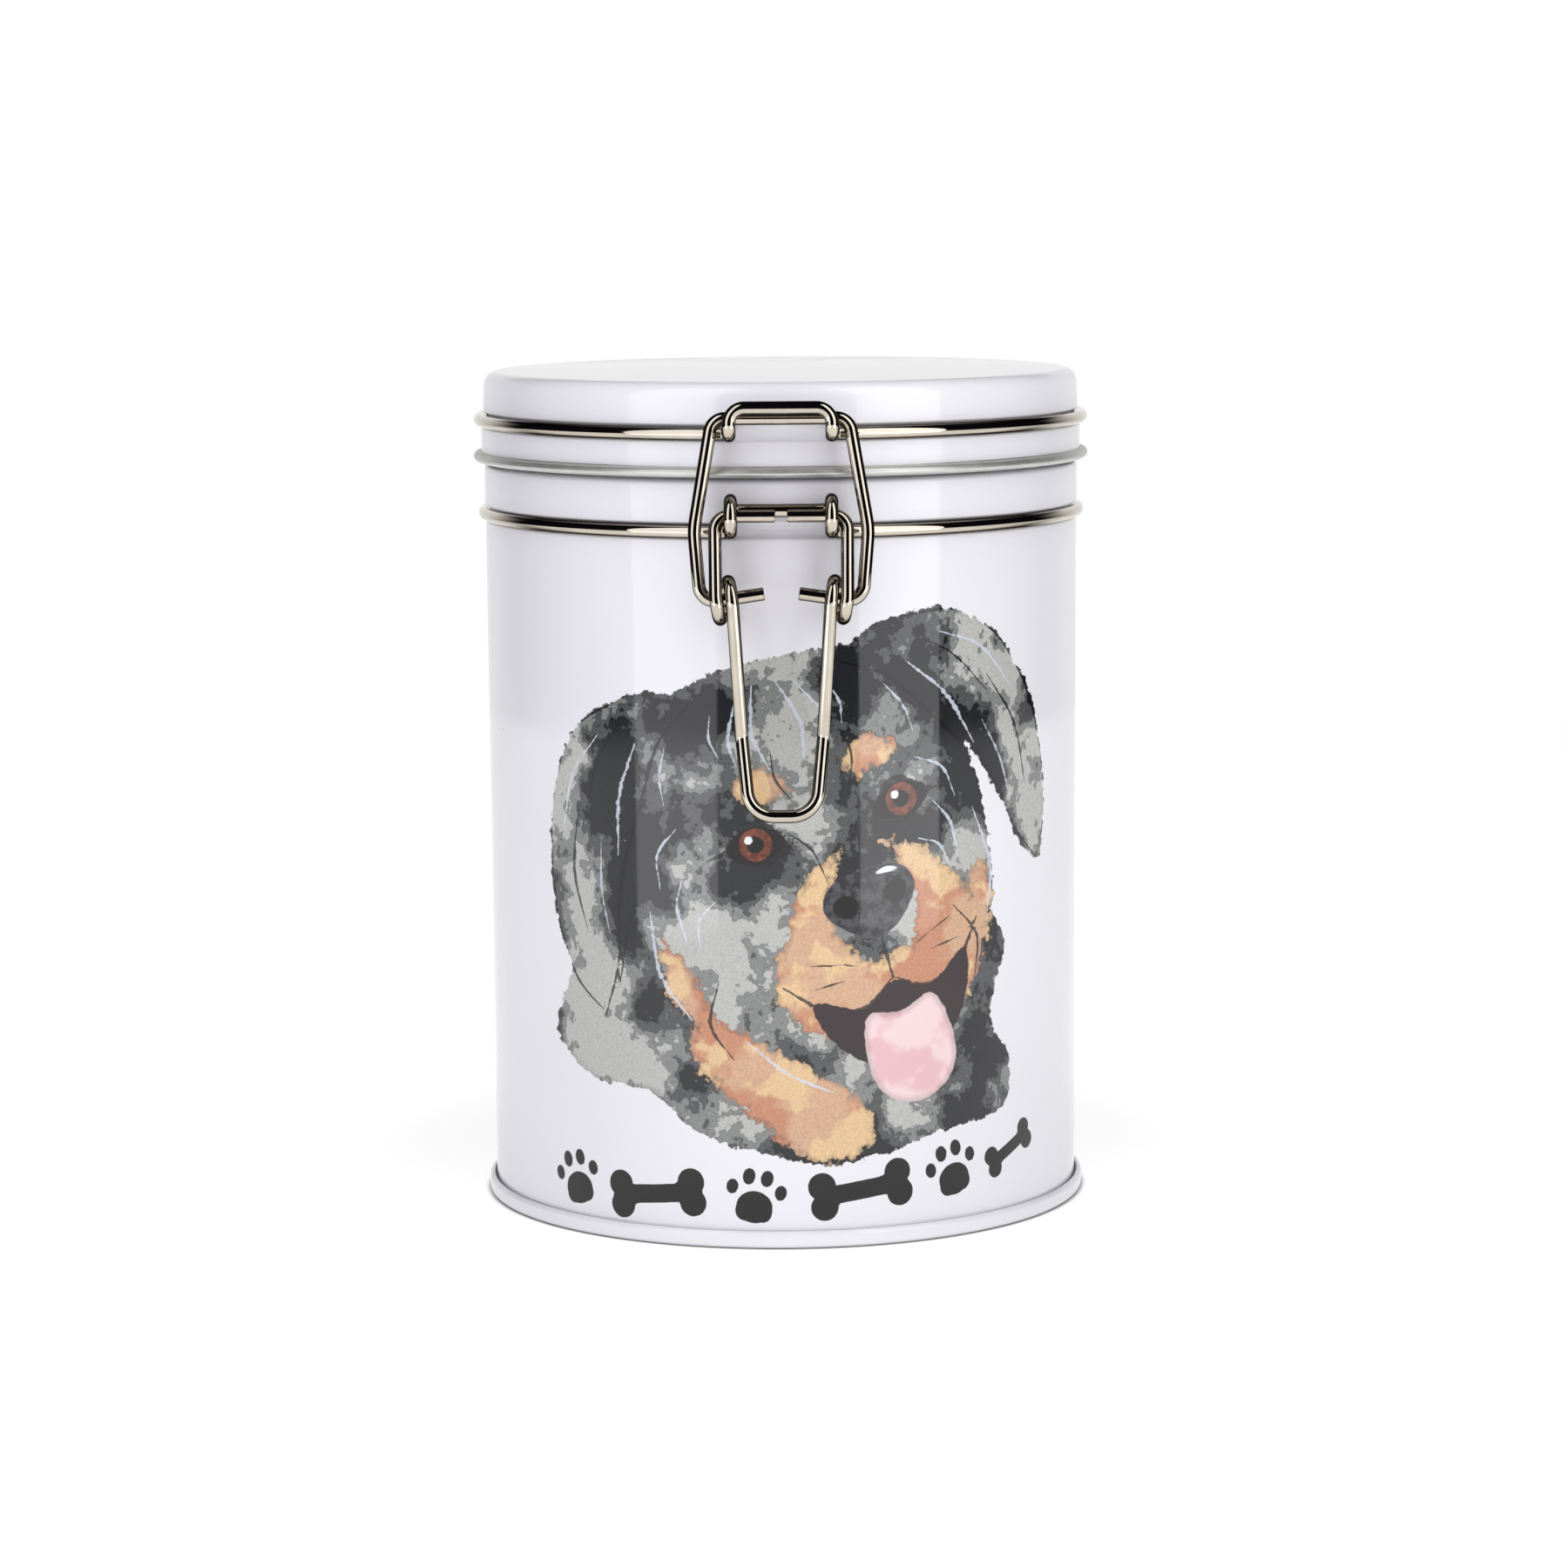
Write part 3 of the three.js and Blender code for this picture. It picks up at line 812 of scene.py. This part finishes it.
def layers(at):
    """The print's layers at every point: how far inside a patch, or offset from a line, in mm."""
    head = placed(at, *HEAD_AT, HEAD_TILT, 1)
    face = head - (FACE_X, 0)
    muzzle = head - (MUZZLE_X, 0)
    tone = np.full(len(at), MIDDLE_TONE)
    for x, y, reach_x, reach_y, dark in SHADES:
        for side in sorted({x, -x}):
            tone += dark * np.exp(-((head[:, 0] - side) / reach_x)**2
                                  - ((head[:, 1] - y) / reach_y)**2)
    tan = [
        np.minimum(patch(muzzle, SNOUT), -BRIDGE_EDGE - patch(muzzle, BRIDGE)),
        both(face, patch, BROW), both(head, patch, CHEEK), patch(at, CHEST),
    ]
    dark = mirrored(DARK_LINES) + mirrored(FACE_LINES, FACE_X) + mirrored(MUZZLE_LINES, MUZZLE_X)
    dark_offset, dark_gap = brushed(head, dark)
    light_offset, light_gap = brushed(head, mirrored(LIGHT_LINES))
    glint_x, glint_z = GLINT_AT
    glints = [disc(face, x + glint_x, IRIS_Z + glint_z, GLINT_RADIUS) for x in (IRIS_X, -IRIS_X)]
    fur = [patch(head, SKULL), both(head, patch, EAR), patch(at, NECK)]
    return {
        "fur": np.maximum.reduce(fur),
        "tone": tone,
        "tan": np.maximum.reduce(tan),
        "mouth": patch(muzzle, MOUTH),
        "tongue": patch(muzzle, TONGUE),
        "nose": patch(muzzle, NOSE),
        "nostril": both(muzzle, patch, NOSTRIL),
        "eyelid": both(face, patch, EYELID),
        "iris": disc(folded(face), IRIS_X, IRIS_Z, IRIS_RADIUS),
        "glint": np.maximum.reduce([*glints, patch(muzzle, GLOSS)]),
        "dark_offset": dark_offset,
        "dark_gap": dark_gap,
        "light_offset": light_offset,
        "light_gap": light_gap,
        "pictograms": pictograms(at),
    }


def front_angles():
    """Angles round the can from the front, close together across the print."""
    front_steps = round(PRINT_HALF / PRINT_STEP)
    half = PRINT_HALF / WALL_RADIUS
    front = [half * i / front_steps for i in range(-front_steps, front_steps)]
    rest = 2 * math.pi - 2 * half
    back_steps = round(rest / math.radians(BACK_STEP))
    return front + [half + rest * i / back_steps for i in range(back_steps)]


def lay_print(mesh):
    """Store the print's layers on the vertices of the wall's outside; elsewhere there is none."""
    at = np.empty(3 * len(mesh.vertices))
    mesh.vertices.foreach_get("co", at)
    x, y, z = at.reshape(-1, 3).T / MM
    across = WALL_RADIUS * np.arctan2(x, -y)
    paper = (np.hypot(x, y) > WALL_RADIUS - PRINT_DEPTH) & (z < PRINT_TOP + PRINT_MARGIN)
    paper &= np.abs(across) < PRINT_HALF + PRINT_MARGIN
    for name, values in layers(np.stack([across[paper], z[paper]], 1)).items():
        whole = np.full(len(z), -NO_INK if name.endswith(("gap", "offset")) else NO_INK)
        whole[paper] = values
        mesh.attributes.new(name, "FLOAT", "POINT").data.foreach_set("value", whole)


# Shells

GROOVE_REACH = 1.25
GROOVE_FLAT = 0.75
GROOVE_LIP = 0.15
GROOVE_DEPTH = WIRE_RADIUS + 0.2


def groove(radius, height, above, below, inset=0.0):
    """Corners of a round groove for a ring wire, from under it to above it. above and below are
    the radii that it runs out to, and inset moves the whole stretch inwards."""
    floor = radius - GROOVE_DEPTH - inset
    return [
        (below - inset, height - GROOVE_REACH, 0.5),
        (floor, height - GROOVE_FLAT, 0.7),
        (floor, height + GROOVE_FLAT, 0.7),
        (above - inset, height + GROOVE_REACH + GROOVE_LIP, 0.5),
    ]


def can_wall():
    """Printed wall, wire groove, shoulder, neck and inward-rolled rim; bare metal inside."""
    roll_z = RIM_Z - RIM_ROLL
    ring_groove = (BODY_RING_RADIUS, BODY_RING_Z, BAND_RADIUS, WALL_RADIUS)
    print_height = PRINT_TOP - WALL_LOW.z
    rows = round(print_height / PRINT_STEP)
    outer = [
        *[(WALL_RADIUS, WALL_LOW.z + print_height * i / rows, 0) for i in range(rows + 1)],
        *groove(*ring_groove),
        (BAND_RADIUS, SHOULDER_Z, 1),
        (NECK_RADIUS, SHOULDER_Z, 0.5),
        *arc(NECK_RADIUS - RIM_ROLL, roll_z, RIM_ROLL, 0, 90, 8),
    ]
    inner = [
        *arc(NECK_RADIUS - RIM_ROLL, roll_z, RIM_ROLL, 100, 240, 12),
        (NECK_RADIUS - SHEET, roll_z - RIM_DROP, 0.5),
        (NECK_RADIUS - SHEET, SHOULDER_Z - SHEET, 0.5),
        (BAND_RADIUS - SHEET, SHOULDER_Z - SHEET, 0.6),
        *reversed(groove(*ring_groove, inset=SHEET)),
        (WALL_RADIUS - SHEET, WALL_LOW.z, 0),
    ]
    stretches = [(0, outer), (1, inner)]
    wall = turned("can_wall", stretches, [PRINTED_ENAMEL, TINPLATE], front_angles())
    lay_print(wall.data)
    return wall


def can_end():
    """Enamelled bottom end: the seam ring, the wall inside it and a panel with stiffening beads."""
    wall_outer = WALL_RADIUS - SHEET - GAP
    wall_inner = wall_outer - SHEET
    fold_inner = WALL_RADIUS + GAP
    under = PANEL_Z - SHEET
    beads = []
    for radius in sorted(BEAD_RADII):
        beads += [
            (radius - BEAD_REACH, 0, 1.2),
            (radius - BEAD_FLAT, -BEAD_DEPTH, 0.8),
            (radius + BEAD_FLAT, -BEAD_DEPTH, 0.8),
            (radius + BEAD_REACH, 0, 1.2),
        ]
    underside = [
        (0, under, 0),
        *[(r, under + z, bend) for r, z, bend in beads],
        (wall_inner, under, 0.9),
        (wall_inner, 0, 0.5),
        (SEAM_RADIUS, 0, 0.6),
        (SEAM_RADIUS, SEAM_HEIGHT, 0.75),
        (fold_inner, SEAM_HEIGHT, 0.3),
    ]
    upper = [
        (fold_inner, SEAM_FLOOR, 0),
        (wall_outer, SEAM_FLOOR, 0),
        (wall_outer, PANEL_Z, 0.6),
        *[(r, PANEL_Z + z, bend) for r, z, bend in reversed(beads)],
        (0, PANEL_Z, 0),
    ]
    return turned("can_end", [(0, underside), (1, upper)], [ENAMEL, TINPLATE])


def lid():
    """Flat top, round corner, wire groove, skirt and a hem rolled outwards that shows bare metal."""
    ring_groove = (LID_RING_RADIUS, LID_RING_Z, LID_SIDE, LID_SKIRT)
    inner = [
        (0, LID_TOP_Z - SHEET, 0),
        (LID_RADIUS - SHEET, LID_TOP_Z - SHEET, LID_CORNER - SHEET),
        *reversed(groove(*ring_groove, inset=SHEET)),
        (LID_SKIRT - SHEET, HEM_Z + HEM_ROLL + SHEET, 0.4),
        *arc(HEM_RADIUS, HEM_Z, HEM_ROLL, -160, 90, 24),
        (LID_SKIRT, HEM_Z + HEM_ROLL - HEM_BITE, HEM_SEAM),
    ]
    outer = [
        (LID_SKIRT, HEM_Z + HEM_ROLL + HEM_SEAM, 0),
        *groove(*ring_groove),
        (LID_RADIUS, LID_TOP_Z, LID_CORNER),
        (0, LID_TOP_Z, 0),
    ]
    return turned("lid", [(1, inner), (0, outer)], [ENAMEL, TINPLATE])


def seal():
    """Silicone ring in the lid's corner, with two lips where it meets the can's rim."""
    outer = LID_RADIUS - SHEET - GAP
    low = SEAL_LOW.z
    high = SEAL_HIGH.z
    inner = SEAL_HIGH.x - SEAL_WIDTH
    first_lip = inner + SEAL_LIP
    second_lip = first_lip + SEAL_VALLEY
    section = [
        (inner, low + SEAL_RAISE, 0.3),
        (first_lip, low, 0.3),
        (first_lip + SEAL_FLANK, low + SEAL_DEPTH, 0.2),
        (second_lip - SEAL_FLANK, low + SEAL_DEPTH, 0.2),
        (second_lip, low, 0.3),
        (outer, low, 0.3),
        (outer, high, LID_CORNER - SHEET - GAP),
        (inner, high, 0.4),
    ]
    return turned("seal_ring", [(0, section)], [SILICONE])


# Wires

# Where the ring wires' bends stand, across from the middle, and the wire behind the lever
CATCH_X = 8.1
PIVOT_EYE_X = 8.0
HINGE_EYE_X = 12.0
HINGE_LEG_X = 15.0
HINGE_PIN_X = 9.6
EYE_BEND = EYE_RADIUS - 0.02
EYE_TAIL = 0.6
RING_BEND = 1.6
CROSSING_RADIUS = 51.4
CROSSING_Z = 120.1


def lid_wire():
    """Left half: hinge pin, leg, ring round the lid, then forward and up into the catch bar."""
    rear = 180 - front_angle(LID_RING_RADIUS, HINGE_LEG_X)
    front = front_angle(LID_RING_RADIUS, CATCH_X)
    catch_y = LID_WIRE_LOW.y + WIRE_RADIUS
    catch_z = LID_WIRE_HIGH.z - WIRE_RADIUS
    route = [
        (-HINGE_PIN_X, HINGE.y, HINGE.z, 0),
        (-HINGE_LEG_X, HINGE.y, HINGE.z, 1.8),
        *ring_side(LID_RING_RADIUS, LID_RING_Z, rear, front, RING_BEND),
        (-CATCH_X, catch_y, LID_RING_Z, 1.9),
        (-CATCH_X, catch_y, catch_z, 2.4),
    ]
    return bent_wire("lid_ring_wire", route, NICKEL)


def body_wire():
    """Left half: hinge eye, ring round the can, front eye, then across behind the lever."""
    rear = 180 - front_angle(BODY_RING_RADIUS, HINGE_EYE_X)
    front = front_angle(BODY_RING_RADIUS, PIVOT_EYE_X)
    crossing_y = -math.sqrt(CROSSING_RADIUS**2 - PIVOT_EYE_X**2)
    crossing = front_angle(CROSSING_RADIUS, PIVOT_EYE_X)
    route = [
        (-HINGE_EYE_X, HINGE.y - EYE_RADIUS, HINGE.z - EYE_TAIL, 0),
        (-HINGE_EYE_X, HINGE.y - EYE_RADIUS, HINGE.z + EYE_RADIUS, EYE_BEND),
        (-HINGE_EYE_X, HINGE.y + EYE_RADIUS, HINGE.z + EYE_RADIUS, EYE_BEND),
        (-HINGE_EYE_X, HINGE.y + EYE_RADIUS, HINGE.z - EYE_RADIUS, EYE_BEND),
        *ring_side(BODY_RING_RADIUS, BODY_RING_Z, rear, front, RING_BEND),
        (-PIVOT_EYE_X, PIVOT.y - EYE_RADIUS, PIVOT.z - EYE_RADIUS, EYE_BEND),
        (-PIVOT_EYE_X, PIVOT.y - EYE_RADIUS, PIVOT.z + EYE_RADIUS, EYE_BEND),
        (-PIVOT_EYE_X, crossing_y, PIVOT.z + EYE_RADIUS, 1.1),
        (-PIVOT_EYE_X, crossing_y, CROSSING_Z, 0.6),
        *ring_side(CROSSING_RADIUS, CROSSING_Z, crossing - RING_STEP, 0, 0),
    ]
    return bent_wire("can_ring_wire", route, NICKEL)


# Lever, with distances across from the middle and leans in degrees from upright
COIL_RADIUS = 3.0
COIL_PITCH = 2.65
COIL_INSET = 0.1
STUB_X = 0.95
HANDLE_LEAN = 8.5
LOOP_LEAN = 12.0
KINK_X = 6.5
KINK_Z = 84.2
LOOP_X = 5.3


def lever():
    """Left half: stub through the front eye, arm, one coil about the link's pivot, the handle."""
    arm_x = LEVER_HIGH.x - WIRE_RADIUS
    loop_z = LEVER_LOW.z + WIRE_RADIUS
    drop = PIVOT.z - COIL_AXIS.z
    start = math.degrees(math.acos(COIL_RADIUS / drop))
    end = 360 + 90 + HANDLE_LEAN
    steps = round((end - start) / COIL_STEP)
    coil = []
    for i in range(steps + 1):
        along = i / steps
        a = math.radians(start + (end - start) * along)
        x = arm_x - COIL_INSET - COIL_PITCH * along
        y = COIL_AXIS.y - COIL_RADIUS * math.sin(a)
        coil.append((-x, y, COIL_AXIS.z + COIL_RADIUS * math.cos(a), 0))
    _, handle_y, handle_z, _ = coil[-1]
    kink_y = handle_y + (handle_z - KINK_Z) * math.tan(math.radians(HANDLE_LEAN))
    loop_y = kink_y - (KINK_Z - loop_z) * math.tan(math.radians(LOOP_LEAN))
    route = [
        (-STUB_X, PIVOT.y, PIVOT.z, 0),
        (-arm_x, PIVOT.y, PIVOT.z, 2.3),
        *coil,
        (-KINK_X, kink_y, KINK_Z, 4),
        (-LOOP_X, loop_y, loop_z, 4.4),
    ]
    return bent_wire("lever_wire", route, NICKEL)


# Where the link's wire passes, each (distance from the middle, height)
LINK_TIP = (2.75, 107.2)
LINK_FOOT = (12.85, 105.75)
LINK_HIP = (13.8, 117.3)
CROSSBAR_X = 10.8
CROSSBAR_Y = -53.6


def link():
    """Left half: pivot stub through the lever's coil, side, and the crossbar behind the catch."""
    tip_x, tip_z = LINK_TIP
    foot_x, foot_z = LINK_FOOT
    hip_x, hip_z = LINK_HIP
    route = [
        (-tip_x, COIL_AXIS.y, tip_z, 0),
        (-foot_x, COIL_AXIS.y, foot_z, 2.6),
        (-hip_x, (COIL_AXIS.y + CROSSBAR_Y) / 2, hip_z, 12),
        (-CROSSBAR_X, CROSSBAR_Y, LINK_HIGH.z - WIRE_RADIUS, 2.4),
    ]
    return bent_wire("link_wire", route, NICKEL)


PIECES = [
    (can_wall, "body_shell", "tin", "white_enamel"),
    (can_end, "base_end", "tin", "white_enamel"),
    (body_wire, "body_wire", "tin", "nickel_wire"),
    (lid, "lid_shell", "lid", "white_enamel"),
    (seal, "lid_seal", "lid", "silicone"),
    (lid_wire, "lid_wire", "lid", "nickel_wire"),
    (lever, "clamp_lever", "lever", "nickel_wire"),
    (link, "clamp_link", "link", "nickel_wire"),
]

for make, cad_node, body, slot in PIECES:
    piece = make()
    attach(piece, body)
    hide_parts(cad_node)


# Studio, in metres and degrees

CAMERA_DISTANCE = 0.775517
CAMERA_HEIGHT = 0.175279
CAMERA_PITCH = 9.4877
CAMERA_ROLL = 0.42
SENSOR_WIDTH = 36
LENS = 104.84
LENS_SHIFT = 0.0871
FLOOR_RADIUS = 0.7
FLOOR_DROP = 0.00005
BACKDROP_RADIUS = 6
BACKDROP_GLOW = 1.05
ROOM_DARK = (0.006, 0.0055, 0.008)
ROOM_WALL = (0.94, 0.94, 0.94)

WHITE = (1, 1, 1)
COOL_WHITE = (0.97, 0.965, 1)
STRIP = (0.182, 0.66)

# Lights, each (name, place, aim, (width, height), watts, colour, whether reflections show it)
LIGHTS = [
    ("strip_left", (-0.182, -0.229, 0.33), (-0.01, -0.03, 0.30), STRIP, 0.62, COOL_WHITE, True),
    ("strip_right", (0.20, -0.22, 0.33), (0.01, -0.03, 0.30), STRIP, 0.75, WHITE, True),
    ("overhead", (0, -0.25, 0.8), (0, 0, 0.1), (0.7, 0.5), 1.4, WHITE, False),
    ("front", (0, -0.55, 0.6), (0, 0, 0.08), (0.5, 0.4), 1.45, WHITE, False),
]


def add_camera():
    """The photograph's view: from the front, a little above, with a slight lean."""
    camera = bpy.data.cameras.new("camera")
    camera.sensor_width = SENSOR_WIDTH
    camera.lens = LENS
    camera.shift_y = LENS_SHIFT
    holder = bpy.data.objects.new("camera", camera)
    bpy.context.scene.collection.objects.link(holder)
    tilt = Matrix.Rotation(math.radians(90 - CAMERA_PITCH), 4, "X")
    roll = Matrix.Rotation(math.radians(-CAMERA_ROLL), 4, "Z")
    place = Matrix.Translation((0, -CAMERA_DISTANCE, CAMERA_HEIGHT))
    holder.matrix_world = place @ tilt @ roll
    bpy.context.scene.camera = holder


def soft_light(name, place, aim, size, watts, colour, in_reflections):
    """A rectangular light that the camera itself doesn't see."""
    light = bpy.data.lights.new(name, "AREA")
    light.shape = "RECTANGLE"
    light.size, light.size_y = size
    light.energy = watts
    light.color = colour
    holder = bpy.data.objects.new(name, light)
    bpy.context.scene.collection.objects.link(holder)
    holder.location = place
    holder.rotation_mode = "QUATERNION"
    holder.rotation_quaternion = (Vector(aim) - Vector(place)).to_track_quat("-Z", "Y")
    holder.visible_camera = False
    holder.visible_glossy = in_reflections


def plain_material(name, colour, glow):
    """A matt material that also gives a little light of its own."""
    material = bpy.data.materials.new(name)
    material.use_nodes = True
    shader = material.node_tree.nodes["Principled BSDF"]
    shader.inputs["Base Color"].default_value = (*colour, 1)
    shader.inputs["Roughness"].default_value = 0.9
    shader.inputs["Specular IOR Level"].default_value = 0
    shader.inputs["Emission Color"].default_value = (1, 1, 1, 1)
    shader.inputs["Emission Strength"].default_value = glow
    return material


def table_material():
    """White, with a glow that fades out under the tin, which paints the shadow line at its foot,
    and grows further out, which paints light over the tin's cast shadows.
    """
    material = plain_material("table", (0.45, 0.45, 0.45), 0)
    tree = material.node_tree
    place = tree.nodes.new("ShaderNodeTexCoord").outputs["Object"]
    away = node(tree, "ShaderNodeVectorMath", {0: place}, operation="LENGTH").outputs["Value"]
    foot = SEAM_RADIUS * MM
    # Painted shadow: the glow falls to nothing at the tin's foot
    near = between(tree, away, foot - 0.0005, foot + 0.001, 0, 0.74)
    # Painted light: more glow further out, which lifts the tin's cast shadows on the table
    far = between(tree, away, 0.06, 0.14, 0, 0.2)
    glow = sums(tree, "ADD", near, far)
    tree.links.new(glow, tree.nodes["Principled BSDF"].inputs["Emission Strength"])
    return material


def studio_piece(name, shape, material):
    """An object from a bmesh, which is used up."""
    mesh = bpy.data.meshes.new(name)
    shape.to_mesh(mesh)
    shape.free()
    mesh.materials.append(material)
    made = bpy.data.objects.new(name, mesh)
    bpy.context.scene.collection.objects.link(made)
    return made


def add_floor():
    """A round white table top, a hair under the tin's foot."""
    shape = bmesh.new()
    bmesh.ops.create_circle(shape, cap_ends=True, segments=96, radius=FLOOR_RADIUS)
    floor = studio_piece("floor", shape, table_material())
    floor.location.z = -FLOOR_DROP


def add_backdrop():
    """A white dome all round, which only the camera sees."""
    shape = bmesh.new()
    bmesh.ops.create_uvsphere(shape, u_segments=48, v_segments=24, radius=BACKDROP_RADIUS)
    backdrop = studio_piece("backdrop", shape, plain_material("backdrop", (0, 0, 0), BACKDROP_GLOW))
    for ray in ("diffuse", "glossy", "transmission", "volume_scatter", "shadow"):
        setattr(backdrop, f"visible_{ray}", False)


def add_room():
    """The room's own light: a white wall behind the tin, dark everywhere else."""
    world = bpy.data.worlds.new("room")
    world.use_nodes = True
    tree = world.node_tree
    place = tree.nodes.new("ShaderNodeTexCoord").outputs["Generated"]
    parts = node(tree, "ShaderNodeSeparateXYZ", {0: place})
    behind = between(tree, parts.outputs["Y"], 0.42, 0.9)
    low = between(tree, parts.outputs["Z"], 0.3, 0.5, 1, 0)
    wall = sums(tree, "MULTIPLY", behind, low)
    colour = mixed(tree, wall, ROOM_DARK, ROOM_WALL)
    tree.links.new(colour, tree.nodes["Background"].inputs["Color"])
    bpy.context.scene.world = world


add_camera()
add_floor()
add_backdrop()
add_room()
for light in LIGHTS:
    soft_light(*light)

view = bpy.context.scene.view_settings
view.view_transform = "Standard"
view.look = "None"
